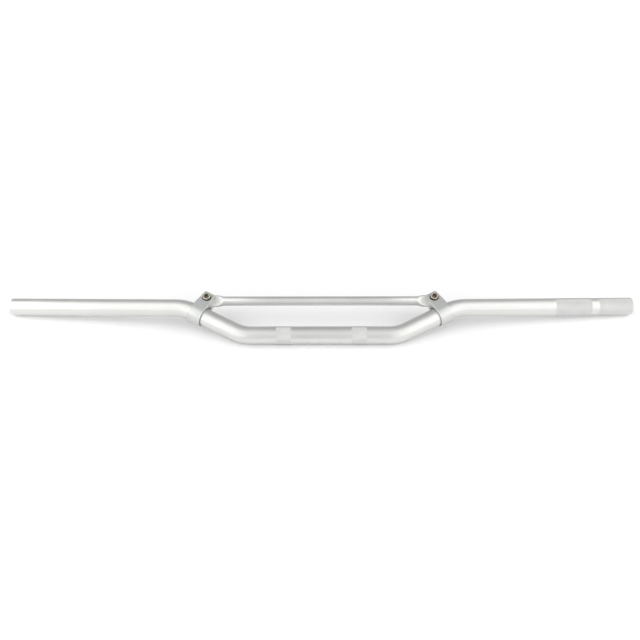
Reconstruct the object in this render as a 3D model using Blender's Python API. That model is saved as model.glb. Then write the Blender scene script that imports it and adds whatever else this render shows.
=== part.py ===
"""Off-road motorcycle handlebar, lying on its rider's side as it would on a bench.

One bent 22.2 mm tube carries a crossbar, whose flattened ends are pinched in two split clamps
by a cap screw each. The tube's ends are open.

Frame, in metres: +X runs to the rider's left grip, +Z is up from the bench and +Y completes the
right-handed set. The origin is the middle of the section that the risers clamp, on the tube's axis.
"""

import math

import bmesh
import bpy
from mathutils import Matrix, Vector

MM = 0.001
GAP = 0.3 * MM  # between pieces that touch

# Main tube. Sizes are for the rider's left half, which the right half mirrors.
TUBE_RADIUS = 11.1 * MM
TUBE_WALL = 3.6 * MM
TUBE_SIDES = 32
CENTRE_HALF = 97.0 * MM  # middle to the corner where the upright begins
UPRIGHT_ANGLE = math.radians(28.1)  # upright to crossbar
PLANE_TILT = math.radians(20.0)  # plane of the uprights and crossbar to the bench
ELBOW_HALF = 171.0 * MM  # middle to the corner where the grip section begins
TIP_HALF = 400.0 * MM
TIP_BEHIND = 56.5 * MM  # bar end's distance along +Y
LOWER_BEND_RADIUS = 42.0 * MM
UPPER_BEND_RADIUS = 62.0 * MM
BEND_STEPS = 6

# Crossbar
CROSSBAR_RISE = 49.6 * MM  # above the clamping section, in the plane of the uprights
CROSSBAR_RADIUS = 6.0 * MM
CROSSBAR_WALL = 1.5 * MM
FLAT_HALF_WIDTH = 8.5 * MM
FLAT_HALF_THICKNESS = 1.8 * MM
FLARE_START = 123.5 * MM  # the tube is round up to here
FLARE_END = 134.0 * MM  # and fully flattened from here
FLARE_STEPS = 6
CORNER_STEPS = 7
END_BEYOND_BOLT = 7.3 * MM

# Split clamps
BOLT_HALF = 144.0 * MM  # middle to each clamp bolt
BORE_RADIUS = TUBE_RADIUS + GAP
RING_RADIUS = 13.4 * MM
FACE_ANGLE = math.radians(80.0)  # where the ears' flat faces leave the ring
EAR_ABOVE_BOLT = 8.0 * MM
SLIT_HALF = FLAT_HALF_THICKNESS + GAP
RING_HALF_WIDTH = 8.8 * MM
EAR_TOP_HALF_WIDTH = 7.0 * MM
FACE_STEPS = 3
RING_STEPS = 18

# M6 cap screws and the spring washers under their heads
SCREW_RADIUS = 3.0 * MM
SCREW_LENGTH = 16.0 * MM
SCREW_CHAMFER = 0.6 * MM
HEAD_RADIUS = 5.0 * MM
HEAD_HEIGHT = 6.0 * MM
HEAD_CHAMFER = 0.5 * MM
SOCKET_ACROSS = 5.0 * MM
SOCKET_DEPTH = 3.0 * MM
SCREW_SIDES = 24
HOLE_RADIUS = SCREW_RADIUS + GAP
SEAT_RADIUS = 5.7 * MM  # counterbore that the washer and head sit in
SEAT_HEIGHT = 4.9 * MM  # its floor, above the middle of the slit
WASHER_RADIUS = 4.95 * MM
WASHER_THICKNESS = 1.6 * MM
WASHER_SPLIT = math.radians(12.0)
WASHER_STEPS = 20

ALUMINIUM = {"color": (0.78, 0.79, 0.78, 1.0), "roughness": 0.38, "metallic": 1.0}
CLAMP_ALUMINIUM = {"color": (0.74, 0.75, 0.74, 1.0), "roughness": 0.45, "metallic": 1.0}
STEEL = {"color": (0.62, 0.58, 0.52, 1.0), "roughness": 0.22, "metallic": 1.0}

ACROSS = Vector((1, 0, 0))
UPWARD = Vector((0, math.cos(PLANE_TILT), math.sin(PLANE_TILT)))  # rise, as fitted on a motorcycle
FORWARD = ACROSS.cross(UPWARD)  # the screws' axis, out of the plane of the uprights
BENCH_UP = Vector((0, 0, 1))


def in_plane(across, rise, forward=0.0):
    """A point given in the plane of the uprights and, at most, some way in front of it."""
    return ACROSS * across + UPWARD * rise + FORWARD * forward


def clear_scene():
    for thing in list(bpy.data.objects):
        bpy.data.objects.remove(thing)


def material(name, color, roughness, metallic):
    made = bpy.data.materials.new(name)
    made.use_nodes = True
    shader = made.node_tree.nodes["Principled BSDF"]
    shader.inputs["Base Color"].default_value = color
    shader.inputs["Roughness"].default_value = roughness
    shader.inputs["Metallic"].default_value = metallic
    return made


def skin(name, loops, ring=False):
    """A closed mesh over a row of equal loops. A ring meets itself, and a row gets flat ends."""
    bm = bmesh.new()
    rows = [[bm.verts.new(point) for point in loop] for loop in loops]
    pairs = list(zip(rows, rows[1:]))
    if ring:
        pairs.append((rows[-1], rows[0]))
    else:
        bm.faces.new(rows[0])
        bm.faces.new(rows[-1])
    for here, there in pairs:
        for i in range(len(here)):
            j = (i + 1) % len(here)
            bm.faces.new((here[i], here[j], there[j], there[i]))
    bmesh.ops.recalc_face_normals(bm, faces=bm.faces)
    mesh = bpy.data.meshes.new(name)
    bm.to_mesh(mesh)
    bm.free()
    return mesh


def add_piece(name, mesh, look, matrix=None, parent=None):
    """One named piece with its own material, shaded smooth but for its edges."""
    mesh.shade_smooth()
    mesh.set_sharp_from_angle(angle=math.radians(35))
    mesh.materials.append(material(name, **look))
    piece = bpy.data.objects.new(name, mesh)
    bpy.context.scene.collection.objects.link(piece)
    piece.parent = parent
    if matrix:
        piece.matrix_world = matrix
    return piece


def add_cutter(name, loops, matrix):
    cutter = bpy.data.objects.new(name, skin(name, loops))
    bpy.context.scene.collection.objects.link(cutter)
    cutter.matrix_world = matrix
    cutter.hide_render = True
    cutter.display_type = "WIRE"
    return cutter


def cut(piece, cutter):
    boolean = piece.modifiers.new(cutter.name, "BOOLEAN")
    boolean.object = cutter
    boolean.operation = "DIFFERENCE"
    boolean.solver = "EXACT"


def flat_circle(radius, height, sides=SCREW_SIDES):
    """Points around a circle about local Z."""
    turns = [2 * math.pi * i / sides for i in range(sides)]
    return [Vector((radius * math.cos(a), radius * math.sin(a), height)) for a in turns]


def placed(origin, x_axis, y_axis, z_axis):
    """The matrix that puts a piece's local axes at the origin given."""
    turn = Matrix((x_axis, y_axis, z_axis)).transposed()
    return Matrix.Translation(origin) @ turn.to_4x4()


# Main tube


def bend_stations(before, corner, after, radius):
    """Points and directions along the arc that rounds one corner of the centreline."""
    arriving = (corner - before).normalized()
    leaving = (after - corner).normalized()
    turn = arriving.angle(leaving)
    axis = arriving.cross(leaving).normalized()
    start = corner - arriving * radius * math.tan(turn / 2)
    centre = start + axis.cross(arriving) * radius
    stations = []
    for i in range(BEND_STEPS + 1):
        rotation = Matrix.Rotation(turn * i / BEND_STEPS, 3, axis)
        stations.append((centre + rotation @ (start - centre), rotation @ arriving))
    return stations


def tube_corners():
    """The corners of the centreline from the rider's right end to the left end."""
    lower = in_plane(CENTRE_HALF, 0)
    elbow = in_plane(ELBOW_HALF, (ELBOW_HALF - CENTRE_HALF) * math.tan(UPRIGHT_ANGLE))
    run = math.hypot(TIP_HALF - ELBOW_HALF, TIP_BEHIND - elbow.y)
    slope = math.atan2(elbow.z, run)
    # The rim of the end rests on the bench, level with the underside of the middle section.
    tip = Vector((TIP_HALF, TIP_BEHIND, TUBE_RADIUS * (math.cos(slope) - 1)))
    left = [lower, elbow, tip]
    right = [Vector((-corner.x, corner.y, corner.z)) for corner in reversed(left)]
    return right + left


def tube_stations():
    corners = tube_corners()
    radii = [UPPER_BEND_RADIUS, LOWER_BEND_RADIUS, LOWER_BEND_RADIUS, UPPER_BEND_RADIUS]
    stations = [(corners[0], (corners[1] - corners[0]).normalized())]
    for i, radius in enumerate(radii, start=1):
        stations += bend_stations(corners[i - 1], corners[i], corners[i + 1], radius)
    stations.append((corners[-1], (corners[-1] - corners[-2]).normalized()))
    return stations


def circle_across(point, direction, radius):
    """Points around a circle square to the direction, the first quarter points level and upright."""
    side = BENCH_UP.cross(direction).normalized()
    up = direction.cross(side)
    turns = [2 * math.pi * i / TUBE_SIDES for i in range(TUBE_SIDES)]
    return [point + (side * math.cos(a) + up * math.sin(a)) * radius for a in turns]


def add_main_tube():
    stations = tube_stations()
    outside = [circle_across(point, way, TUBE_RADIUS) for point, way in stations]
    inside = [circle_across(point, way, TUBE_RADIUS - TUBE_WALL) for point, way in stations]
    add_piece("main_tube", skin("main_tube", outside + inside[::-1], ring=True), ALUMINIUM)


# Crossbar


def rounded_section(along, half_width, half_thickness, corner):
    """Points around a rectangle with round corners, which is a circle where all three are equal."""
    points = []
    for i in range(4 * CORNER_STEPS):
        angle = math.radians(90) * (i + 0.5) / CORNER_STEPS
        wide = math.cos(angle)
        thick = math.sin(angle)
        points.append(
            Vector(
                (
                    along,
                    corner * wide + math.copysign(half_width - corner, wide),
                    corner * thick + math.copysign(half_thickness - corner, thick),
                )
            )
        )
    return points


def crossbar_section(along, inset):
    """The tube's wall surface, inset from its outside: round inboard and flattened outboard."""
    share = (abs(along) - FLARE_START) / (FLARE_END - FLARE_START)
    share = min(max(share, 0.0), 1.0)
    flatness = 1 - (1 - share) ** 2  # steepest where the press bit in, level where it ends

    def between(round_value, flat_value):
        return round_value + (flat_value - round_value) * flatness - inset

    return rounded_section(
        along,
        between(CROSSBAR_RADIUS, FLAT_HALF_WIDTH),
        between(CROSSBAR_RADIUS, FLAT_HALF_THICKNESS),
        between(CROSSBAR_RADIUS, FLAT_HALF_THICKNESS),
    )


def end_trimmer(side):
    """The prism outside the rounded end of the flattened stretch, in the crossbar's own axes."""
    radius = FLAT_HALF_WIDTH + 0.1 * MM
    centre = BOLT_HALF + END_BEYOND_BOLT - radius
    far = BOLT_HALF + 20 * MM
    wide = 14 * MM
    outline = [(far, -wide), (far, wide), (centre, wide)]
    outline += [
        (centre + radius * math.sin(a), radius * math.cos(a))
        for a in (math.radians(180) * i / 16 for i in range(17))
    ]
    outline.append((centre, -wide))
    deep = 4 * MM
    return [[Vector((side * x, y, z)) for x, y in outline] for z in (-deep, deep)]


def add_crossbar():
    matrix = placed(in_plane(0, CROSSBAR_RISE), ACROSS, UPWARD, FORWARD)
    flare = [FLARE_START + (FLARE_END - FLARE_START) * i / FLARE_STEPS for i in range(FLARE_STEPS + 1)]
    half = flare + [BOLT_HALF + 10 * MM]
    places = [-along for along in reversed(half)] + half
    outside = [crossbar_section(along, 0.0) for along in places]
    inside = [crossbar_section(along, CROSSBAR_WALL) for along in places]
    crossbar = add_piece(
        "crossbar", skin("crossbar", outside + inside[::-1], ring=True), ALUMINIUM, matrix
    )
    for side, name in ((1, "left"), (-1, "right")):
        cut(crossbar, add_cutter(f"{name}_end_trimmer", end_trimmer(side), matrix))
        hole = [flat_circle(HOLE_RADIUS, height) for height in (-5 * MM, 5 * MM)]
        at_bolt = matrix @ Matrix.Translation((side * BOLT_HALF, 0, 0))
        cut(crossbar, add_cutter(f"{name}_crossbar_hole", hole, at_bolt))


# Clamps, in local axes: X along the upright, Y from the tube's axis to the screw, Z along the screw


def clamp_reach():
    """The screw's distance from the upright's axis."""
    inboard = BOLT_HALF - CENTRE_HALF
    return CROSSBAR_RISE * math.cos(UPRIGHT_ANGLE) - inboard * math.sin(UPRIGHT_ANGLE)


def clamp_matrix(side):
    """The clamp's axes at its bore: turned about the screw's axis to lie square to the upright."""
    turn = Matrix.Rotation(side * UPRIGHT_ANGLE, 3, FORWARD)
    along = turn @ ACROSS
    outward = turn @ UPWARD
    screw = in_plane(side * BOLT_HALF, CROSSBAR_RISE)
    return placed(screw - outward * clamp_reach(), along, outward, FORWARD)


def face_height(reach):
    """Height of the ear's flat face above the middle of the slit, at a distance from the bore."""
    start = RING_RADIUS * math.cos(FACE_ANGLE)
    return RING_RADIUS * math.sin(FACE_ANGLE) - (reach - start) / math.tan(FACE_ANGLE)


def clamp_outline():
    """Matching outer and inner points from the front ear's top, round the bore, to the middle."""
    top = clamp_reach() + EAR_ABOVE_BOLT
    neck = math.sqrt(BORE_RADIUS**2 - SLIT_HALF**2)
    tangent = RING_RADIUS * math.cos(FACE_ANGLE)
    slit_angle = math.asin(SLIT_HALF / BORE_RADIUS)
    pairs = [((top, face_height(top)), (top, SLIT_HALF))]
    for i in range(FACE_STEPS):
        reach = neck + (tangent - neck) * i / FACE_STEPS
        angle = slit_angle + (FACE_ANGLE - slit_angle) * i / FACE_STEPS
        inner = (BORE_RADIUS * math.cos(angle), BORE_RADIUS * math.sin(angle))
        pairs.append(((reach, face_height(reach)), inner))
    for i in range(RING_STEPS // 2 + 1):
        angle = FACE_ANGLE + (math.pi - FACE_ANGLE) * i / (RING_STEPS // 2)
        way = (math.cos(angle), math.sin(angle))
        pairs.append(
            ((RING_RADIUS * way[0], RING_RADIUS * way[1]), (BORE_RADIUS * way[0], BORE_RADIUS * way[1]))
        )
    return pairs


def half_width_at(reach):
    """The clamp's half width along the upright: full round the tube, less at the ears' top."""
    top = clamp_reach() + EAR_ABOVE_BOLT
    neck = math.sqrt(BORE_RADIUS**2 - SLIT_HALF**2)
    share = max(reach - neck, 0.0) / (top - neck)
    return RING_HALF_WIDTH + (EAR_TOP_HALF_WIDTH - RING_HALF_WIDTH) * share


def clamp_mesh(name):
    front = clamp_outline()
    back = [((oy, -oz), (iy, -iz)) for (oy, oz), (iy, iz) in reversed(front[:-1])]
    loops = []
    for (oy, oz), (iy, iz) in front + back:
        outer = half_width_at(oy)
        inner = half_width_at(iy)
        loops.append(
            [
                Vector((outer, oy, oz)),
                Vector((-outer, oy, oz)),
                Vector((-inner, iy, iz)),
                Vector((inner, iy, iz)),
            ]
        )
    return skin(name, loops)


def add_clamp(name, side):
    """The clamp, with the screw's hole through both ears and its seat in the front ear."""
    matrix = clamp_matrix(side)
    clamp = add_piece(f"{name}_clamp", clamp_mesh(f"{name}_clamp"), CLAMP_ALUMINIUM, matrix)
    at_screw = matrix @ Matrix.Translation((0, clamp_reach(), 0))
    hole = [flat_circle(HOLE_RADIUS, height) for height in (-16 * MM, 7 * MM)]
    seat = [flat_circle(SEAT_RADIUS, height, 32) for height in (SEAT_HEIGHT, 16 * MM)]
    cut(clamp, add_cutter(f"{name}_screw_hole", hole, at_screw))
    cut(clamp, add_cutter(f"{name}_screw_seat", seat, at_screw))
    return at_screw


# Screws and washers, in local axes with Z along the screw


def hexagon(across_flats, height):
    """The socket's hexagon, with as many points as the screw's circles."""
    points = []
    for i in range(SCREW_SIDES):
        angle = 2 * math.pi * i / SCREW_SIDES
        from_flat = (angle + math.pi / 6) % (math.pi / 3) - math.pi / 6
        radius = across_flats / 2 / math.cos(from_flat)
        points.append(Vector((radius * math.cos(angle), radius * math.sin(angle), height)))
    return points


def screw_mesh(name):
    """A socket-head cap screw whose head sits on local zero."""
    profile = [
        (SCREW_RADIUS - SCREW_CHAMFER, -SCREW_LENGTH),
        (SCREW_RADIUS, SCREW_CHAMFER - SCREW_LENGTH),
        (SCREW_RADIUS, 0.0),
        (HEAD_RADIUS, 0.0),
        (HEAD_RADIUS, HEAD_HEIGHT - HEAD_CHAMFER),
        (HEAD_RADIUS - HEAD_CHAMFER, HEAD_HEIGHT),
    ]
    loops = [flat_circle(radius, height) for radius, height in profile]
    loops.append(hexagon(SOCKET_ACROSS, HEAD_HEIGHT))
    loops.append(hexagon(SOCKET_ACROSS, HEAD_HEIGHT - SOCKET_DEPTH))
    return skin(name, loops)


def washer_mesh(name):
    """A spring washer pressed flat: a ring of square section with a split."""
    loops = []
    for i in range(WASHER_STEPS + 1):
        angle = WASHER_SPLIT / 2 + (2 * math.pi - WASHER_SPLIT) * i / WASHER_STEPS
        way = Vector((math.cos(angle), math.sin(angle), 0))
        low = way * WASHER_RADIUS
        bore = way * HOLE_RADIUS
        rise = Vector((0, 0, WASHER_THICKNESS))
        loops.append([low, low + rise, bore + rise, bore])
    return skin(name, loops)


def add_screw_and_washer(name, at_screw):
    """Both hang from an empty on the screw's axis, level with the middle of the slit."""
    axis = bpy.data.objects.new(f"{name}_screw_axis", None)
    bpy.context.scene.collection.objects.link(axis)
    axis.matrix_world = at_screw
    washer_height = SEAT_HEIGHT + GAP
    head_height = washer_height + WASHER_THICKNESS + GAP
    washer = add_piece(f"{name}_lock_washer", washer_mesh(f"{name}_lock_washer"), STEEL, parent=axis)
    washer.location = (0, 0, washer_height)
    screw = add_piece(f"{name}_clamp_bolt", screw_mesh(f"{name}_clamp_bolt"), STEEL, parent=axis)
    screw.location = (0, 0, head_height)


def main():
    clear_scene()
    add_main_tube()
    add_crossbar()
    for name, side in (("left", 1), ("right", -1)):
        add_screw_and_washer(name, add_clamp(name, side))


main()
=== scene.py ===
"""Looks of an off-road motorcycle handlebar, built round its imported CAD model.

Detailed pieces stand for every CAD node, on a pale floor in soft studio light. Lengths are in metres in
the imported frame: +X runs to the rider's left grip, +Z is up from the bench, and the origin is the middle
of the section that the risers clamp.
"""

import math

import bmesh
import bpy
from mathutils import Matrix, Vector


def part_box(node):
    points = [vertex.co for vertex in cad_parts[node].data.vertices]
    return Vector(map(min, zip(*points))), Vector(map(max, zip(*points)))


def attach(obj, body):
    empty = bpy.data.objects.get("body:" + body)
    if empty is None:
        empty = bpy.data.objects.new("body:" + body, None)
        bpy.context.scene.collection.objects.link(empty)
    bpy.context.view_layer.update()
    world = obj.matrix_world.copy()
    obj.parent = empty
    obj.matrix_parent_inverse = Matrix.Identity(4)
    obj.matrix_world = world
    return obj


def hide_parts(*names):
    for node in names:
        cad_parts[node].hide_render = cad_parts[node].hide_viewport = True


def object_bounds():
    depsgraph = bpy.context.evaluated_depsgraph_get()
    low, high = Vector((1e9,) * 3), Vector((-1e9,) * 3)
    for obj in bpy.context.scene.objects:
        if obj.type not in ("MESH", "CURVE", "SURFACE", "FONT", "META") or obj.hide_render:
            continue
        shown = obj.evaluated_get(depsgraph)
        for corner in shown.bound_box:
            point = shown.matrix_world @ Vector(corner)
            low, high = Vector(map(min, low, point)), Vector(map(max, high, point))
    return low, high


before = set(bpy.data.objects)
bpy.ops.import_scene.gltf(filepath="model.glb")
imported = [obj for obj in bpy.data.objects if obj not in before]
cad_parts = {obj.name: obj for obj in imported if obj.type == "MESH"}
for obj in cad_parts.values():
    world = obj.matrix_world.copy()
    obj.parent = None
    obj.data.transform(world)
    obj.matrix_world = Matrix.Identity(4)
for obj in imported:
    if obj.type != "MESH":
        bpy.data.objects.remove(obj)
CAD_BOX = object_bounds()

MM = 0.001
GAP = 0.3 * MM  # between pieces that touch

# Main tube, as in the CAD source
TUBE_RADIUS = 11.1 * MM
TUBE_WALL = 3.6 * MM
CENTRE_HALF = 97.0 * MM
UPRIGHT_ANGLE = math.radians(28.1)
PLANE_TILT = math.radians(20.0)
ELBOW_HALF = 171.0 * MM
TIP_HALF = 400.0 * MM
TIP_BEHIND = 56.5 * MM
LOWER_BEND_RADIUS = 42.0 * MM
UPPER_BEND_RADIUS = 62.0 * MM

# Crossbar, as in the CAD source
CROSSBAR_RISE = 49.6 * MM
CROSSBAR_RADIUS = 6.0 * MM
CROSSBAR_WALL = 1.5 * MM
FLAT_HALF_WIDTH = 8.5 * MM
FLAT_HALF_THICKNESS = 1.8 * MM
FLARE_START = 123.5 * MM
FLARE_END = 134.0 * MM
END_BEYOND_BOLT = 7.3 * MM

# Clamps, as in the CAD source
BOLT_HALF = 144.0 * MM
BORE_RADIUS = TUBE_RADIUS + GAP
RING_RADIUS = 13.4 * MM
FACE_ANGLE = math.radians(80.0)
EAR_ABOVE_BOLT = 8.0 * MM
SLIT_HALF = FLAT_HALF_THICKNESS + GAP
RING_HALF_WIDTH = 8.8 * MM
EAR_TOP_HALF_WIDTH = 7.0 * MM
HOLE_RADIUS = 3.3 * MM
SEAT_RADIUS = 5.7 * MM
SEAT_HEIGHT = 4.9 * MM

# Screws and washers, as in the CAD source
SCREW_RADIUS = 3.0 * MM
SCREW_LENGTH = 16.0 * MM
HEAD_RADIUS = 5.0 * MM
HEAD_HEIGHT = 6.0 * MM
SOCKET_ACROSS = 5.0 * MM
SOCKET_DEPTH = 3.0 * MM
WASHER_RADIUS = 4.95 * MM
WASHER_THICKNESS = 1.6 * MM
WASHER_SPLIT = math.radians(12.0)

# Detail that the CAD model leaves out
TUBE_SIDES = 128
BEND_STEPS = 24
RIM_ROUND = 1.1 * MM
BORE_CHAMFER = 0.5 * MM
KNURL_DEPTH = 0.22 * MM
KNURL_PITCH = 0.72 * MM  # half a diamond's length along the tube
CENTRE_KNURLS = ((-55.1 * MM, -36.1 * MM), (39.1 * MM, 58.1 * MM))  # from the middle, to its left
GRIP_KNURLS = ((1.2 * MM, 45.3 * MM), (54.8 * MM, 102.0 * MM))  # from the rider's left end
SECTION_SIDES = 64
FLARE_STEPS = 28
CLAMP_ROUND = 0.7 * MM
BORE_EDGE = 0.25 * MM
EAR_TOP_ROUND = 0.45 * MM
SEAT_CHAMFER = 0.65 * MM
SCREW_SIDES = 72
SCREW_PITCH = 1.0 * MM
THREAD_DEPTH = 0.6 * MM
ROWS_PER_PITCH = 12
HEAD_ROUND = 0.5 * MM
HEAD_GROOVE = 0.13 * MM
HEAD_TRIM = 0.05 * MM  # keeps the rounded rim within the CAD head
WASHER_EDGE = 0.18 * MM
WASHER_STEPS = 72
WASHER_SLANT = math.radians(3.0)

# Painted shade in each clamp's bore and slit, as lengths in the strap's UV map, which has 16 points round
# it
STRAP_AROUND = 2 * RING_HALF_WIDTH + 2 * (RING_RADIUS - BORE_RADIUS)
STRAP_POINT = STRAP_AROUND / 16
BORE_LINE = 13.5 * STRAP_POINT  # middle of the bore
BORE_SHADE_SPAN = (1.5 * STRAP_POINT, 2.2 * STRAP_POINT)  # full and faded, from the bore line
RING_LINE = 51.1 * MM  # half way round the ring
RING_SHADE_SPAN = (32.0 * MM, 36.0 * MM)  # full and faded, from the ring line

# Colours shared by the materials
WORN_ALUMINIUM = (0.93, 0.93, 0.92, 1.0)
WORN_CLAMP = (0.92, 0.92, 0.91, 1.0)
# Dark colour of the painted shade in the clamps' bores and slits
PAINTED_BORE_SHADE = (0.09, 0.08, 0.065, 1.0)
# Dark colour of the painted shade in the screws' and washers' hollows
HOLLOW_SHADE = (0.10, 0.08, 0.06, 1.0)

ACROSS = Vector((1, 0, 0))
UPWARD = Vector((0, math.cos(PLANE_TILT), math.sin(PLANE_TILT)))
FORWARD = ACROSS.cross(UPWARD)
BENCH_UP = Vector((0, 0, 1))
LENGTHWISE = "Lengthwise"  # UV map in metres: along a piece, and round it


def in_plane(across, rise, forward=0.0):
    """A point given in the plane of the uprights and, at most, some way in front of it."""
    return ACROSS * across + UPWARD * rise + FORWARD * forward


def placed(origin, x_axis, y_axis, z_axis):
    """The matrix that puts a piece's local axes at the origin given."""
    turn = Matrix((x_axis, y_axis, z_axis)).transposed()
    return Matrix.Translation(origin) @ turn.to_4x4()


# Materials


class Graph:
    """A material's nodes, with short calls to add and join them."""

    def __init__(self, name):
        self.material = bpy.data.materials.new(name)
        self.material.use_nodes = True
        self.tree = self.material.node_tree
        self.shader = self.tree.nodes["Principled BSDF"]

    def node(self, kind, settings=None, **inputs):
        made = self.tree.nodes.new(kind)
        for name, value in (settings or {}).items():
            setattr(made, name, value)
        for name, value in inputs.items():
            self.feed(made, name.replace("_", " "), value)
        return made

    def plug(self, socket, value):
        """Sets an input to a value, or joins it to another node's output."""
        if isinstance(value, bpy.types.NodeSocket):
            self.tree.links.new(value, socket)
        else:
            socket.default_value = value

    def feed(self, node, name, value):
        self.plug(node.inputs[name], value)

    def coordinate(self, source="Object", scale=(1, 1, 1)):
        if source == LENGTHWISE:
            out = self.node("ShaderNodeUVMap", {"uv_map": LENGTHWISE}).outputs["UV"]
        else:
            out = self.node("ShaderNodeTexCoord").outputs[source]
        return self.node("ShaderNodeMapping", Vector=out, Scale=scale).outputs["Vector"]

    def noise(self, vector, scale, detail=3.0, roughness=0.55):
        made = self.node(
            "ShaderNodeTexNoise", Vector=vector, Scale=scale, Detail=detail, Roughness=roughness
        )
        return made.outputs["Fac"]

    def spread(self, value, low, high, start=0.3, end=0.7):
        """A value from noise, stretched to run from low to high."""
        made = self.node("ShaderNodeMapRange", Value=value)
        made.inputs["From Min"].default_value = start
        made.inputs["From Max"].default_value = end
        made.inputs["To Min"].default_value = low
        made.inputs["To Max"].default_value = high
        return made.outputs["Result"]

    def maths(self, operation, *values):
        made = self.node("ShaderNodeMath", {"operation": operation})
        for socket, value in zip(made.inputs, values):
            self.plug(socket, value)
        return made.outputs["Value"]

    def blend(self, share, low, high):
        """A colour between two, by the share."""
        made = self.node("ShaderNodeMix", {"data_type": "RGBA"})
        for name, value in (("Factor", share), ("A", low), ("B", high)):
            self.plug([s for s in made.inputs if s.name == name and s.enabled][0], value)
        return [s for s in made.outputs if s.enabled][0]

    def bump(self, height, strength, distance, under=None):
        made = self.node("ShaderNodeBump", Height=height, Strength=strength, Distance=distance)
        if under is not None:
            self.tree.links.new(under, made.inputs["Normal"])
        return made.outputs["Normal"]

    def finish(self, color, roughness, normal, metallic=1.0):
        self.feed(self.shader, "Base Color", color)
        self.feed(self.shader, "Roughness", roughness)
        self.feed(self.shader, "Normal", normal)
        self.shader.inputs["Metallic"].default_value = metallic
        return self.material


def satin_aluminium(name, dark, light, roughness):
    """Drawn tube, polished along its length and clear anodised to a satin."""
    g = Graph(name)
    along = g.coordinate(LENGTHWISE, (14, 2600, 1))
    streaks = g.noise(along, 1.0, detail=4.0, roughness=0.65)
    fine = g.noise(g.coordinate(LENGTHWISE, (120, 9000, 1)), 1.0, detail=2.0)
    clouds = g.noise(g.coordinate(), 34.0, detail=4.0, roughness=0.6)
    grain = g.noise(g.coordinate(), 5200.0, detail=2.0)
    edges = g.node("ShaderNodeNewGeometry").outputs["Pointiness"]
    worn = g.spread(edges, 0.0, 1.0, start=0.53, end=0.62)
    share = g.maths("ADD", g.maths("MULTIPLY", g.spread(streaks, 0.0, 1.0), 0.35),
                    g.maths("MULTIPLY", g.spread(clouds, 0.0, 1.0), 0.65))
    color = g.blend(share, dark, light)
    color = g.blend(g.maths("MULTIPLY", worn, 0.5), color, WORN_ALUMINIUM)
    rough = g.maths("ADD", g.spread(streaks, roughness - 0.03, roughness + 0.03),
                    g.spread(clouds, -0.02, 0.02))
    normal = g.bump(streaks, 0.12, 0.02 * MM)
    normal = g.bump(fine, 0.10, 0.012 * MM, normal)
    normal = g.bump(grain, 0.16, 0.015 * MM, normal)
    return g.finish(color, rough, normal)


def knurled_aluminium(name, dark, light, roughness):
    """The same anodised metal, frosted by the knurling wheel, with rougher valleys and smoother crests,
    and painted shade in the valleys and painted highlight on the crests.
    """
    g = Graph(name)
    clouds = g.noise(g.coordinate(), 60.0, detail=4.0, roughness=0.6)
    grain = g.noise(g.coordinate(), 6500.0, detail=3.0)
    edges = g.node("ShaderNodeNewGeometry").outputs["Pointiness"]
    crests = g.spread(edges, 0.0, 1.0, start=0.42, end=0.58)
    # Painted light: the crests are coloured lighter and the valleys darker
    share = g.maths("ADD", g.maths("MULTIPLY", crests, 0.6),
                    g.maths("MULTIPLY", g.spread(clouds, 0.0, 1.0), 0.4))
    color = g.blend(share, dark, light)
    rough = g.maths("ADD", g.spread(grain, roughness - 0.05, roughness + 0.05),
                    g.maths("MULTIPLY", crests, -0.06))
    return g.finish(color, rough, g.bump(grain, 0.3, 0.02 * MM))


def bore_aluminium(name):
    """The inside of a drawn tube: left as drawn, greyer, with lines along it."""
    g = Graph(name)
    along = g.coordinate(LENGTHWISE, (9, 1500, 1))
    streaks = g.noise(along, 1.0, detail=4.0, roughness=0.7)
    clouds = g.noise(g.coordinate(), 45.0, detail=4.0)
    share = g.maths("MULTIPLY", g.spread(streaks, 0.2, 1.0), g.spread(clouds, 0.5, 1.0))
    color = g.blend(share, (0.30, 0.30, 0.29, 1.0), (0.58, 0.58, 0.57, 1.0))
    rough = g.spread(streaks, 0.42, 0.62)
    return g.finish(color, rough, g.bump(streaks, 0.35, 0.04 * MM))


def blasted_aluminium(name, dark, light, roughness):
    """Machined, fine blasted and anodised, with bright rubbed edges and painted shade in the bore and
    slit.
    """
    g = Graph(name)
    grain = g.noise(g.coordinate(), 3600.0, detail=3.0, roughness=0.6)
    pits = g.node("ShaderNodeTexVoronoi", Vector=g.coordinate(), Scale=2300.0).outputs["Distance"]
    clouds = g.noise(g.coordinate(), 90.0, detail=4.0, roughness=0.6)
    mill = g.noise(g.coordinate(LENGTHWISE, (2400, 60, 1)), 1.0, detail=2.0)
    edges = g.node("ShaderNodeNewGeometry").outputs["Pointiness"]
    worn = g.spread(edges, 0.0, 1.0, start=0.54, end=0.66)
    share = g.maths("ADD", g.maths("MULTIPLY", g.spread(clouds, 0.0, 1.0), 0.6),
                    g.maths("MULTIPLY", g.spread(grain, 0.0, 1.0), 0.4))
    color = g.blend(share, dark, light)
    color = g.blend(g.maths("MULTIPLY", worn, 0.6), color, WORN_CLAMP)
    lengths = g.node("ShaderNodeSeparateXYZ", Vector=g.coordinate(LENGTHWISE)).outputs
    from_bore = g.maths("ABSOLUTE", g.maths("SUBTRACT", lengths["Y"], BORE_LINE))
    from_ring = g.maths("ABSOLUTE", g.maths("SUBTRACT", lengths["X"], RING_LINE))
    # Painted shade: the clamp is darkened towards a dark colour in its bore and slit
    painted_shade = g.maths("MULTIPLY", g.spread(from_bore, 1.0, 0.0, *BORE_SHADE_SPAN),
                    g.spread(from_ring, 1.0, 0.0, *RING_SHADE_SPAN))
    color = g.blend(g.maths("MULTIPLY", painted_shade, 0.9), color, PAINTED_BORE_SHADE)
    rough = g.maths("ADD", g.spread(grain, roughness - 0.04, roughness + 0.04),
                    g.maths("MULTIPLY", worn, -0.1))
    normal = g.bump(pits, 0.12, 0.02 * MM)
    normal = g.bump(grain, 0.22, 0.02 * MM, normal)
    normal = g.bump(mill, 0.05, 0.01 * MM, normal)
    return g.finish(color, rough, normal)


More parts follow.
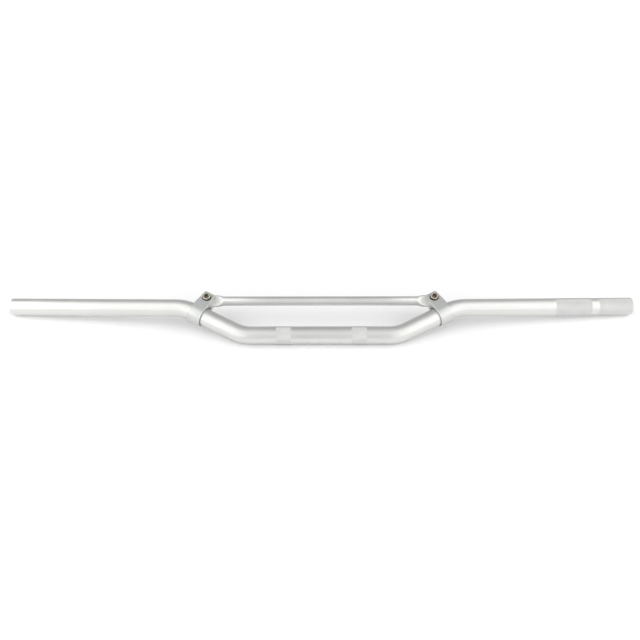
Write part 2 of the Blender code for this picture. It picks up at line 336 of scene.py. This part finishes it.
def zinc_steel(name, dark, light, roughness):
    """Bright plated steel with a faint warm stain, turned marks, fine pits and painted shade in its
    hollows.
    """
    g = Graph(name)
    stain = g.noise(g.coordinate(), 420.0, detail=4.0, roughness=0.65)
    turned = g.noise(g.coordinate(LENGTHWISE, (9000, 250, 1)), 1.0, detail=2.0)
    grain = g.noise(g.coordinate(), 7000.0, detail=2.0)
    edges = g.node("ShaderNodeNewGeometry").outputs["Pointiness"]
    hollow = g.spread(edges, 1.0, 0.0, start=0.40, end=0.50)
    color = g.blend(g.spread(stain, 0.0, 1.0), dark, light)
    # Painted shade: hollows, found by pointiness, are darkened towards a dark brown
    color = g.blend(g.maths("MULTIPLY", hollow, 0.7), color, HOLLOW_SHADE)
    rough = g.maths("ADD", g.spread(stain, roughness - 0.05, roughness + 0.06),
                    g.maths("MULTIPLY", hollow, 0.25))
    normal = g.bump(turned, 0.12, 0.01 * MM)
    normal = g.bump(grain, 0.10, 0.01 * MM, normal)
    return g.finish(color, rough, normal)


def floor_paper(name):
    """A matt white paper sweep with the faintest unevenness, lit from behind further out."""
    g = Graph(name)
    pulp = g.noise(g.coordinate(), 900.0, detail=3.0)
    clouds = g.noise(g.coordinate(), 3.0, detail=3.0)
    color = g.blend(clouds, (0.955, 0.953, 0.960, 1.0), (0.972, 0.970, 0.978, 1.0))
    rough = g.spread(pulp, 0.82, 0.95)
    away = g.node("ShaderNodeVectorMath", {"operation": "LENGTH"}, Vector=g.coordinate())
    glow = g.spread(away.outputs["Value"], 0.0, 0.30, start=0.2, end=0.9)
    g.shader.inputs["Emission Color"].default_value = (1.0, 1.0, 1.0, 1.0)
    g.feed(g.shader, "Emission Strength", glow)
    return g.finish(color, rough, g.bump(pulp, 0.05, 0.05 * MM), metallic=0.0)


TUBE_LOOK = satin_aluminium(
    "tube_satin", (0.685, 0.690, 0.670, 1.0), (0.735, 0.739, 0.722, 1.0), 0.40
)
KNURL_LOOK = knurled_aluminium(
    "tube_knurl", (0.585, 0.590, 0.578, 1.0), (0.715, 0.720, 0.706, 1.0), 0.55
)
BORE_LOOK = bore_aluminium("tube_bore")
CLAMP_LOOK = blasted_aluminium(
    "clamp_blasted", (0.60, 0.612, 0.600, 1.0), (0.68, 0.690, 0.676, 1.0), 0.48
)
SCREW_LOOK = zinc_steel("screw_zinc", (0.30, 0.25, 0.19, 1.0), (0.76, 0.71, 0.62, 1.0), 0.20)
# Painted shade: the socket's faces are coloured far darker than the head
SOCKET_LOOK = zinc_steel("screw_socket", (0.12, 0.10, 0.08, 1.0), (0.24, 0.21, 0.17, 1.0), 0.34)
# Painted shade: the washer, under the head in its seat, is coloured darker than the screw
WASHER_LOOK = zinc_steel("washer_zinc", (0.20, 0.17, 0.13, 1.0), (0.36, 0.32, 0.26, 1.0), 0.28)


# Meshes from rows of points


class Lattice:
    """A closed mesh from rows of equal loops, with a UV map of lengths along and round it."""

    def __init__(self, name):
        self.name = name
        self.rows = []  # (points, distance along, look index, knurl row number or None)

    def add(self, points, look=0, knurl=None):
        """The look is that of the faces between this row and the one before."""
        along = 0.0
        if self.rows:
            along = self.rows[-1][1] + (points[0] - self.rows[-1][0][0]).length
        self.rows.append((points, along, look, knurl))

    def mesh(self, looks, around, ring=False):
        """Quads between the rows. A ring meets itself, and otherwise both ends are capped."""
        count = len(self.rows[0][0])
        points = [tuple(point) for row in self.rows for point in row[0]]
        faces, kinds, flats, corners = [], [], [], []
        total = len(self.rows)
        for r in range(total if ring else total - 1):
            s = (r + 1) % total
            here, there = self.rows[r], self.rows[s]
            knurled = here[3] is not None and there[3] is not None
            for k in range(count):
                low, high = (r, k), (r, k + 1)
                low_next, high_next = (s, k), (s, k + 1)
                if knurled and (here[3] + k) % 2:
                    parts = [(low, high, high_next), (low, high_next, low_next)]
                elif knurled:
                    parts = [(low, high, low_next), (high, high_next, low_next)]
                else:
                    parts = [(low, high, high_next, low_next)]
                for part in parts:
                    faces.append([row * count + k % count for row, k in part])
                    kinds.append(there[2])
                    flats.append(knurled)
                    for row, k in part:
                        corners += (self.rows[row][1], around * k / count)
        if not ring:
            for r in (0, total - 1):
                faces.append([r * count + k for k in range(count)])
                kinds.append(self.rows[r][2])
                flats.append(False)
                for k in range(count):
                    turn = 2 * math.pi * k / count
                    corners += (around / 6 * math.cos(turn), around / 6 * math.sin(turn))
        mesh = bpy.data.meshes.new(self.name)
        mesh.from_pydata(points, [], faces)
        for look in looks:
            mesh.materials.append(look)
        mesh.polygons.foreach_set("material_index", kinds)
        mesh.uv_layers.new(name=LENGTHWISE).data.foreach_set("uv", corners)
        mesh.shade_smooth()
        face_out(mesh)
        mesh.set_sharp_from_angle(angle=math.radians(38))
        mesh.polygons.foreach_set("use_smooth", [not flat for flat in flats])
        mesh.update()
        return mesh


def face_out(mesh):
    bm = bmesh.new()
    bm.from_mesh(mesh)
    bmesh.ops.recalc_face_normals(bm, faces=bm.faces)
    bm.to_mesh(mesh)
    bm.free()


def add_object(name, mesh, matrix=None):
    piece = bpy.data.objects.new(name, mesh)
    bpy.context.scene.collection.objects.link(piece)
    if matrix:
        piece.matrix_world = matrix
    return piece


def bake_modifiers(piece):
    """The piece's mesh with its modifiers applied, and no modifiers left."""
    bpy.context.view_layer.update()
    evaluated = piece.evaluated_get(bpy.context.evaluated_depsgraph_get())
    mesh = bpy.data.meshes.new_from_object(evaluated)
    piece.modifiers.clear()
    piece.data = mesh


def cut(piece, cutters):
    """Takes the cutters out of the piece and removes them."""
    for cutter in cutters:
        boolean = piece.modifiers.new(cutter.name, "BOOLEAN")
        boolean.object = cutter
        boolean.operation = "DIFFERENCE"
        boolean.solver = "EXACT"
    bake_modifiers(piece)
    for cutter in cutters:
        bpy.data.objects.remove(cutter)
    piece.data.shade_smooth()
    piece.data.set_sharp_from_angle(angle=math.radians(34))


def stand_for(piece, node, body):
    """The piece rides with the body in place of the CAD node, which it has to fit."""
    bpy.context.view_layer.update()
    piece.data.transform(piece.matrix_world)
    piece.matrix_world = Matrix.Identity(4)
    low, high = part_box(node)
    for axis in range(3):
        values = [vertex.co[axis] for vertex in piece.data.vertices]
        slack = max(low[axis] - min(values), max(values) - high[axis])
        if slack > 0.15 * MM:
            raise ValueError(f"{piece.name} stands {slack / MM:.2f} mm out of {node} along axis {axis}")
    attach(piece, body)
    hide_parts(node)


def circle(radius, height, sides, turned=0.0):
    """Points round a circle about local Z."""
    turns = [2 * math.pi * i / sides + turned for i in range(sides)]
    return [Vector((radius * math.cos(a), radius * math.sin(a), height)) for a in turns]


# Main tube


class Route:
    """The centreline of the main tube: straight runs and arcs, measured from the rider's right end."""

    def __init__(self, corners, radii):
        self.legs = []  # (length, start, direction, axis and centre of an arc)
        here = corners[0]
        for i, radius in enumerate(radii, start=1):
            arriving = (corners[i] - corners[i - 1]).normalized()
            leaving = (corners[i + 1] - corners[i]).normalized()
            turn = arriving.angle(leaving)
            axis = arriving.cross(leaving).normalized()
            start = corners[i] - arriving * radius * math.tan(turn / 2)
            centre = start + axis.cross(arriving) * radius
            self.legs.append(((start - here).length, here, arriving, None, None))
            self.legs.append((turn * radius, start, arriving, axis, centre))
            here = centre + Matrix.Rotation(turn, 3, axis) @ (start - centre)
        last = corners[-1] - here
        self.legs.append((last.length, here, last.normalized(), None, None))
        self.length = sum(leg[0] for leg in self.legs)

    def at(self, distance):
        """The point and direction some way along."""
        for length, start, direction, axis, centre in self.legs:
            if distance <= length or (length, start) == self.legs[-1][:2]:
                break
            distance -= length
        if axis is None:
            return start + direction * distance, direction
        turn = distance / (start - centre).length
        rotation = Matrix.Rotation(turn, 3, axis)
        return centre + rotation @ (start - centre), rotation @ direction

    def bend_places(self, steps):
        """Distances through every bend, its two ends included."""
        places, done = [], 0.0
        for length, _, _, axis, _ in self.legs:
            if axis is not None:
                places += [done + length * i / steps for i in range(steps + 1)]
            done += length
        return places


def tube_route():
    lower = in_plane(CENTRE_HALF, 0)
    elbow = in_plane(ELBOW_HALF, (ELBOW_HALF - CENTRE_HALF) * math.tan(UPRIGHT_ANGLE))
    run = math.hypot(TIP_HALF - ELBOW_HALF, TIP_BEHIND - elbow.y)
    slope = math.atan2(elbow.z, run)
    tip = Vector((TIP_HALF, TIP_BEHIND, TUBE_RADIUS * (math.cos(slope) - 1)))
    left = [lower, elbow, tip]
    right = [Vector((-corner.x, corner.y, corner.z)) for corner in reversed(left)]
    radii = [UPPER_BEND_RADIUS, LOWER_BEND_RADIUS, LOWER_BEND_RADIUS, UPPER_BEND_RADIUS]
    return Route(right + left, radii)


def knurl_rows(start, end):
    """(distance, row number) through one knurled band. Its first and last rows are plain circles."""
    count = round((end - start) / KNURL_PITCH)
    return [(start + (end - start) * i / count, i) for i in range(count + 1)]


def tube_loop(route, distance, radius, knurl=None, last=False):
    """Points round the tube. In a knurl they alternate between crests and valleys."""
    point, way = route.at(distance)
    side = BENCH_UP.cross(way).normalized()
    up = way.cross(side)
    loop = []
    for k in range(TUBE_SIDES):
        a = 2 * math.pi * k / TUBE_SIDES
        depth = KNURL_DEPTH if knurl and not last and (knurl + k) % 2 else 0.0
        loop.append(point + (side * math.cos(a) + up * math.sin(a)) * (radius - depth))
    return loop


def tube_mesh():
    route = tube_route()
    middle = route.length / 2
    bands = [(middle + start, middle + end) for start, end in CENTRE_KNURLS]
    bands += [(route.length - far, route.length - near) for near, far in reversed(GRIP_KNURLS)]
    lattice = Lattice("main_tube_satin")

    rim = [math.radians(15 * i) for i in range(7)]
    for a in rim:
        radius = TUBE_RADIUS - RIM_ROUND * (1 - math.sin(a))
        lattice.add(tube_loop(route, RIM_ROUND * (1 - math.cos(a)), radius))
    plain = [(distance, None) for distance in route.bend_places(BEND_STEPS)]
    rows = plain + [row for band in bands for row in knurl_rows(*band)]
    rows.sort(key=lambda row: row[0])
    for i, (distance, knurl) in enumerate(rows):
        last = knurl is not None and (i + 1 == len(rows) or not rows[i + 1][1])
        look = 1 if knurl else 0
        lattice.add(tube_loop(route, distance, TUBE_RADIUS, knurl, last), look, knurl)
    for a in reversed(rim):
        radius = TUBE_RADIUS - RIM_ROUND * (1 - math.sin(a))
        lattice.add(tube_loop(route, route.length - RIM_ROUND * (1 - math.cos(a)), radius))

    bore = TUBE_RADIUS - TUBE_WALL
    inside = [0.0, BORE_CHAMFER] + route.bend_places(BEND_STEPS // 2)
    inside += [route.length - BORE_CHAMFER, route.length]
    for i, distance in enumerate(reversed(inside)):
        flared = BORE_CHAMFER if distance in (0.0, route.length) else 0.0
        lattice.add(tube_loop(route, distance, bore + flared), 2 if i else 0)
    return lattice.mesh([TUBE_LOOK, KNURL_LOOK, BORE_LOOK], 2 * math.pi * TUBE_RADIUS, ring=True)


# Crossbar


def flare_share(along):
    share = (abs(along) - FLARE_START) / (FLARE_END - FLARE_START)
    share = min(max(share, 0.0), 1.0)
    return 1 - (1 - share) ** 2


def crossbar_loop(along, inset):
    """The wall's surface, inset from its outside: round inboard and flattened outboard."""
    flatness = flare_share(along)
    half_width = CROSSBAR_RADIUS + (FLAT_HALF_WIDTH - CROSSBAR_RADIUS) * flatness - inset
    half_thickness = CROSSBAR_RADIUS + (FLAT_HALF_THICKNESS - CROSSBAR_RADIUS) * flatness - inset
    points = []
    for i in range(SECTION_SIDES):
        angle = 2 * math.pi * (i + 0.5) / SECTION_SIDES
        wide, thick = math.cos(angle), math.sin(angle)
        points.append(
            Vector(
                (
                    along,
                    half_thickness * wide + math.copysign(half_width - half_thickness, wide),
                    half_thickness * thick,
                )
            )
        )
    return points


def end_trimmer(side, matrix):
    """The prism outside the rounded end of the flattened stretch."""
    radius = FLAT_HALF_WIDTH + 0.1 * MM
    centre = BOLT_HALF + END_BEYOND_BOLT - radius
    far, wide, deep, steps = BOLT_HALF + 20 * MM, 14 * MM, 4 * MM, 40
    outline = [(far, -wide), (far, wide), (centre, wide)]
    outline += [
        (centre + radius * math.sin(a), radius * math.cos(a))
        for a in (math.pi * i / steps for i in range(steps + 1))
    ]
    outline.append((centre, -wide))
    lattice = Lattice("end_trimmer")
    for z in (-deep, deep):
        lattice.add([Vector((side * x, y, z)) for x, y in outline])
    return add_object("end_trimmer", lattice.mesh([TUBE_LOOK], 1.0), matrix)


def add_crossbar():
    matrix = placed(in_plane(0, CROSSBAR_RISE), ACROSS, UPWARD, FORWARD)
    flare = [FLARE_START + (FLARE_END - FLARE_START) * i / FLARE_STEPS for i in range(FLARE_STEPS + 1)]
    half = [40 * MM, 80 * MM] + flare + [BOLT_HALF + 10 * MM]
    places = [-along for along in reversed(half)] + half
    lattice = Lattice("crossbar_satin")
    for along in places:
        lattice.add(crossbar_loop(along, 0.0))
    for i, along in enumerate(reversed(places)):
        lattice.add(crossbar_loop(along, CROSSBAR_WALL), 1 if i else 0)
    mesh = lattice.mesh([TUBE_LOOK, BORE_LOOK], 2 * math.pi * CROSSBAR_RADIUS, ring=True)
    piece = add_object("crossbar_satin", mesh, matrix)
    cutters = []
    for side in (1, -1):
        cutters.append(end_trimmer(side, matrix))
        hole = Lattice("crossbar_hole")
        for height in (-5 * MM, 5 * MM):
            hole.add(circle(HOLE_RADIUS, height, 48))
        at_bolt = matrix @ Matrix.Translation((side * BOLT_HALF, 0, 0))
        cutters.append(add_object("crossbar_hole", hole.mesh([TUBE_LOOK], 1.0), at_bolt))
    cut(piece, cutters)
    stand_for(piece, "crossbar", "handlebar")


# Clamps, in local axes: X along the upright, Y from the tube's axis to the screw, Z along the screw


def clamp_reach():
    inboard = BOLT_HALF - CENTRE_HALF
    return CROSSBAR_RISE * math.cos(UPRIGHT_ANGLE) - inboard * math.sin(UPRIGHT_ANGLE)


def clamp_matrix(side):
    turn = Matrix.Rotation(side * UPRIGHT_ANGLE, 3, FORWARD)
    outward = turn @ UPWARD
    screw = in_plane(side * BOLT_HALF, CROSSBAR_RISE)
    return placed(screw - outward * clamp_reach(), turn @ ACROSS, outward, FORWARD)


def face_height(reach):
    """Height of the ear's flat face above the middle of the slit, at a distance from the bore."""
    start = RING_RADIUS * math.cos(FACE_ANGLE)
    return RING_RADIUS * math.sin(FACE_ANGLE) - (reach - start) / math.tan(FACE_ANGLE)


def clamp_outline():
    """Matching outer and inner points from the front ear's top, round the bore, to the middle."""
    top = clamp_reach() + EAR_ABOVE_BOLT
    neck = math.sqrt(BORE_RADIUS**2 - SLIT_HALF**2)
    tangent = RING_RADIUS * math.cos(FACE_ANGLE)
    slit_angle = math.asin(SLIT_HALF / BORE_RADIUS)
    face_steps, ring_steps = 8, 36
    pairs = [((top, face_height(top)), (top, SLIT_HALF))]
    for i in range(face_steps):
        reach = neck + (tangent - neck) * i / face_steps
        angle = slit_angle + (FACE_ANGLE - slit_angle) * i / face_steps
        inner = (BORE_RADIUS * math.cos(angle), BORE_RADIUS * math.sin(angle))
        pairs.append(((reach, face_height(reach)), inner))
    for i in range(ring_steps + 1):
        angle = FACE_ANGLE + (math.pi - FACE_ANGLE) * i / ring_steps
        y, z = math.cos(angle), math.sin(angle)
        pairs.append(((RING_RADIUS * y, RING_RADIUS * z), (BORE_RADIUS * y, BORE_RADIUS * z)))
    return pairs


def half_width_at(reach):
    top = clamp_reach() + EAR_ABOVE_BOLT
    neck = math.sqrt(BORE_RADIUS**2 - SLIT_HALF**2)
    share = max(reach - neck, 0.0) / (top - neck)
    return RING_HALF_WIDTH + (EAR_TOP_HALF_WIDTH - RING_HALF_WIDTH) * share


def strap_loop(outer, inner):
    """Points round one section of the clamp's strap, its outer edges rounded and inner ones eased."""
    (oy, oz), (iy, iz) = outer, inner
    out = Vector((0, oy - iy, oz - iz)).normalized()
    outer_point, inner_point = Vector((0, oy, oz)), Vector((0, iy, iz))
    wide, narrow = half_width_at(oy), half_width_at(iy)
    points = []
    turns = [math.radians(18 * i) for i in range(6)]
    for side in (1, -1):
        for a in turns if side == 1 else reversed(turns):
            across = wide - CLAMP_ROUND * (1 - math.cos(a))
            points.append(outer_point - out * CLAMP_ROUND * (1 - math.sin(a)) + ACROSS * side * across)
    for side in (-1, 1):
        eased = [(narrow, BORE_EDGE), (narrow - BORE_EDGE, 0.0)]
        for across, deep in eased if side == -1 else reversed(eased):
            points.append(inner_point + out * deep + ACROSS * side * across)
    return points


def seat_cutter(at_screw):
    """The seat for the washer and head, with an even chamfer where it meets the sloping face."""
    lattice = Lattice("screw_seat")
    sides = 64
    mouth = SEAT_RADIUS + SEAT_CHAMFER
    lattice.add(circle(SEAT_RADIUS, SEAT_HEIGHT, sides))
    for radius, above_face in ((SEAT_RADIUS, -0.35 * MM), (mouth, 0.3 * MM)):
        loop = circle(radius, SEAT_HEIGHT, sides)
        for point in loop:
            point.z = face_height(clamp_reach() + point.y) + above_face
        lattice.add(loop)
    lattice.add(circle(mouth, 16 * MM, sides))
    return add_object("screw_seat", lattice.mesh([CLAMP_LOOK], 1.0), at_screw)


def add_clamp(name, side):
    matrix = clamp_matrix(side)
    at_screw = matrix @ Matrix.Translation((0, clamp_reach(), 0))
    front = clamp_outline()
    back = [((oy, -oz), (iy, -iz)) for (oy, oz), (iy, iz) in reversed(front[:-1])]
    lattice = Lattice(f"{name}_clamp_blasted")
    for outer, inner in front + back:
        lattice.add(strap_loop(outer, inner))
    mesh = lattice.mesh([CLAMP_LOOK], STRAP_AROUND)
    piece = add_object(f"{name}_clamp_blasted", mesh, matrix)
    bevel = piece.modifiers.new("ear_tops", "BEVEL")
    bevel.width = EAR_TOP_ROUND
    bevel.segments = 3
    bevel.limit_method = "ANGLE"
    bevel.angle_limit = math.radians(60)
    bake_modifiers(piece)
    hole = Lattice("screw_hole")
    for height in (-16 * MM, 7 * MM):
        hole.add(circle(HOLE_RADIUS, height, 48))
    cutters = [add_object("screw_hole", hole.mesh([CLAMP_LOOK], 1.0), at_screw), seat_cutter(at_screw)]
    cut(piece, cutters)
    stand_for(piece, f"{name}_clamp", "handlebar")
    return at_screw


# Screws and washers, in local axes with Z along the screw


def socket_loop(across_flats, height):
    points = []
    for i in range(SCREW_SIDES):
        angle = 2 * math.pi * i / SCREW_SIDES
        from_flat = (angle + math.pi / 6) % (math.pi / 3) - math.pi / 6
        radius = across_flats / 2 / math.cos(from_flat)
        points.append(Vector((radius * math.cos(angle), radius * math.sin(angle), height)))
    return points


def thread_radius(height, turn):
    """A metric thread's outside at a height and angle, run out under the head and eased at its end."""
    phase = (height / SCREW_PITCH - turn / (2 * math.pi)) % 1.0
    flank = abs(phase - 0.5) * 2  # 0 on the crest, 1 at the root
    cut_in = min(max((flank - 0.16) / 0.66, 0.0), 1.0)
    fade = min(max(-height / (1.5 * SCREW_PITCH), 0.0), 1.0)
    radius = SCREW_RADIUS - THREAD_DEPTH * cut_in * fade
    point = SCREW_RADIUS - THREAD_DEPTH - 0.1 * MM + (height + SCREW_LENGTH)
    return min(radius, point)


def screw_mesh(name):
    """A socket-head cap screw whose head sits on local zero."""
    lattice = Lattice(name)
    rows = round(SCREW_LENGTH / SCREW_PITCH * ROWS_PER_PITCH)
    for i in range(rows + 1):
        height = -SCREW_LENGTH + SCREW_LENGTH * i / rows
        loop = []
        for k in range(SCREW_SIDES):
            turn = 2 * math.pi * k / SCREW_SIDES
            radius = thread_radius(height, turn)
            loop.append(Vector((radius * math.cos(turn), radius * math.sin(turn), height)))
        lattice.add(loop)
    top = HEAD_HEIGHT - HEAD_TRIM
    side = [  # (height, added radius, depth of the grooves)
        (0.0, -0.25 * MM, 0.0),
        (0.25 * MM, 0.0, 0.0),
        (0.45 * MM, 0.0, HEAD_GROOVE),
        (HEAD_HEIGHT - 0.95 * MM, 0.0, HEAD_GROOVE),
        (HEAD_HEIGHT - 0.75 * MM, 0.0, 0.0),
    ]
    for height, extra, groove in side:
        loop = circle(1.0, height, SCREW_SIDES)
        for k, point in enumerate(loop):
            radius = HEAD_RADIUS + extra - (groove if k % 2 else 0.0)
            point.x *= radius
            point.y *= radius
        lattice.add(loop)
    for i in range(6):
        a = math.radians(18 * i)
        radius = HEAD_RADIUS - HEAD_ROUND * (1 - math.cos(a))
        lattice.add(circle(radius, top - HEAD_ROUND * (1 - math.sin(a)), SCREW_SIDES))
    mouth = SOCKET_ACROSS / 2 / math.cos(math.pi / 6) + 0.12 * MM
    lattice.add(circle(mouth, top, SCREW_SIDES))
    lattice.add(socket_loop(SOCKET_ACROSS, HEAD_HEIGHT - 0.28 * MM), 1)
    lattice.add(socket_loop(SOCKET_ACROSS, HEAD_HEIGHT - SOCKET_DEPTH + 0.2 * MM), 1)
    lattice.add(circle(SOCKET_ACROSS / 2 * 0.94, HEAD_HEIGHT - SOCKET_DEPTH + 0.1 * MM, SCREW_SIDES), 1)
    lattice.add(circle(SOCKET_ACROSS / 10, HEAD_HEIGHT - SOCKET_DEPTH, SCREW_SIDES), 1)
    return lattice.mesh([SCREW_LOOK, SOCKET_LOOK], 2 * math.pi * HEAD_RADIUS)


def washer_mesh(name):
    """A spring washer pressed flat: a ring of square section with a slanting split."""
    lattice = Lattice(name)
    ease = WASHER_EDGE
    for i in range(WASHER_STEPS + 1):
        angle = WASHER_SPLIT / 2 + (2 * math.pi - WASHER_SPLIT) * i / WASHER_STEPS
        loop = []
        corners = [(WASHER_RADIUS, 0.0, -1, 1), (WASHER_RADIUS, WASHER_THICKNESS, -1, -1),
                   (HOLE_RADIUS, WASHER_THICKNESS, 1, -1), (HOLE_RADIUS, 0.0, 1, 1)]
        for n, (radius, height, inward, up) in enumerate(corners):
            eased = [(inward * ease, 0.0), (inward * ease * 0.3, up * ease * 0.3), (0.0, up * ease)]
            for dr, dz in eased if n % 2 == 0 else reversed(eased):
                slant = WASHER_SLANT * (2 * (height + dz) / WASHER_THICKNESS - 1)
                way = Vector((math.cos(angle + slant), math.sin(angle + slant), 0))
                loop.append(way * (radius + dr) + Vector((0, 0, height + dz)))
        lattice.add(loop)
    return lattice.mesh([WASHER_LOOK], 2 * (WASHER_RADIUS - HOLE_RADIUS + WASHER_THICKNESS))


def add_screw_and_washer(name, at_screw):
    washer_height = SEAT_HEIGHT + GAP
    head_height = washer_height + WASHER_THICKNESS + GAP
    washer = add_object(
        f"{name}_lock_washer_zinc",
        washer_mesh(f"{name}_lock_washer_zinc"),
        at_screw @ Matrix.Translation((0, 0, washer_height)),
    )
    stand_for(washer, f"{name}_lock_washer", f"{name}_washer")
    screw = add_object(
        f"{name}_clamp_bolt_zinc",
        screw_mesh(f"{name}_clamp_bolt_zinc"),
        at_screw @ Matrix.Translation((0, 0, head_height)),
    )
    stand_for(screw, f"{name}_clamp_bolt", f"{name}_bolt")


tube = add_object("main_tube_satin", tube_mesh())
stand_for(tube, "main_tube", "handlebar")
add_crossbar()
for name, side in (("left", 1), ("right", -1)):
    add_screw_and_washer(name, add_clamp(name, side))


# Studio

FLOOR_HALF = 12.0
FILL_STRENGTH = 0.485
FILL_TINT = (0.985, 0.985, 1.0, 1.0)
SOFTBOX_SIZE = 0.62
SOFTBOX_DISTANCE = 1.6
LAMP_TINT = (1.0, 0.998, 0.982)
# Turn up and over from the camera's side in degrees, share sideways, radiance. Most come in pairs.
SOFTBOXES = [
    (45, 0.80, 1.98),
    (95, 0.80, 1.76),
    (20, 0.42, 1.39),
    (70, 0.42, 1.38),
    (120, 0.80, 1.37),
    (20, 0.80, 1.02),
    (95, 0.42, 1.00),
    (45, 0.42, 0.91),
    (70, 0.80, 0.75),
    (120, 0.42, 0.34),
    (70, 0.0, 0.31),
    (45, 0.0, 0.22),
    (95, 0.0, 0.18),
    (150, 0.42, 0.10),
]


# The camera looks at a point just above the origin, square to the bar but for a slight yaw and roll.
# Its three lengths are in millimetres.
CAMERA_ELEVATION = math.radians(40.0)
CAMERA_YAW = math.radians(0.861)
CAMERA_ROLL = math.radians(-0.611)
CAMERA_DISTANCE = 1150
CAMERA_RAISED = 18.8
CAMERA_ASIDE = 0.1
CAMERA_LENS = 51.82


def add_floor():
    bm = bmesh.new()
    bmesh.ops.create_grid(bm, x_segments=24, y_segments=24, size=FLOOR_HALF)
    mesh = bpy.data.meshes.new("floor")
    bm.to_mesh(mesh)
    bm.free()
    mesh.materials.append(floor_paper("floor_paper"))
    floor = add_object("floor", mesh, Matrix.Translation((0, 0, CAD_BOX[0].z)))


def add_softbox(name, centre, radiance):
    """A square soft light aimed at the origin, as bright as the radiance says."""
    light = bpy.data.lights.new(name, "AREA")
    light.shape = "SQUARE"
    light.size = SOFTBOX_SIZE
    light.energy = radiance * math.pi * SOFTBOX_SIZE**2
    light.color = LAMP_TINT
    lamp = bpy.data.objects.new(name, light)
    bpy.context.scene.collection.objects.link(lamp)
    lamp.location = centre
    lamp.rotation_mode = "QUATERNION"
    lamp.rotation_quaternion = (-centre).to_track_quat("-Z", "Y")


def add_world(strength, tint):
    """Even fill from all round, seen as white behind the floor."""
    world = bpy.data.worlds.new("studio")
    bpy.context.scene.world = world
    world.use_nodes = True
    tree = world.node_tree
    fill = tree.nodes["Background"]
    fill.inputs["Color"].default_value = tint
    fill.inputs["Strength"].default_value = strength
    white = tree.nodes.new("ShaderNodeBackground")
    white.inputs["Color"].default_value = (1, 1, 1, 1)
    seen = tree.nodes.new("ShaderNodeLightPath")
    mix = tree.nodes.new("ShaderNodeMixShader")
    tree.links.new(seen.outputs["Is Camera Ray"], mix.inputs[0])
    tree.links.new(fill.outputs["Background"], mix.inputs[1])
    tree.links.new(white.outputs["Background"], mix.inputs[2])
    tree.links.new(mix.outputs["Shader"], tree.nodes["World Output"].inputs["Surface"])


def add_camera():
    turn = Matrix.Rotation(CAMERA_YAW, 3, "Z")
    right = turn @ Vector((1, 0, 0))
    up = turn @ Vector((0, math.sin(CAMERA_ELEVATION), math.cos(CAMERA_ELEVATION)))
    back = turn @ Vector((0, -math.cos(CAMERA_ELEVATION), math.sin(CAMERA_ELEVATION)))
    across = right * math.cos(CAMERA_ROLL) + up * math.sin(CAMERA_ROLL)
    upright = up * math.cos(CAMERA_ROLL) - right * math.sin(CAMERA_ROLL)
    place = up * CAMERA_RAISED * MM - right * CAMERA_ASIDE * MM + back * CAMERA_DISTANCE * MM
    data = bpy.data.cameras.new("camera")
    data.sensor_width = 36.0
    data.lens = CAMERA_LENS
    data.clip_start, data.clip_end = 0.05, 60.0
    camera = bpy.data.objects.new("camera", data)
    bpy.context.scene.collection.objects.link(camera)
    camera.matrix_world = placed(place, across, upright, back)
    bpy.context.scene.camera = camera


add_floor()
add_world(FILL_STRENGTH, FILL_TINT)
for row, (elevation, sideways, radiance) in enumerate(SOFTBOXES):
    depth = math.sqrt(1 - sideways**2)
    turn = math.radians(elevation)
    way = Vector((sideways, -depth * math.cos(turn), depth * math.sin(turn)))
    for side in (1, -1) if sideways else (1,):
        centre = Vector((way.x * side, way.y, way.z)) * SOFTBOX_DISTANCE
        add_softbox(f"softbox_{row}_{'left' if side > 0 else 'right'}", centre, radiance)
add_camera()
bpy.context.scene.view_settings.view_transform = "Standard"
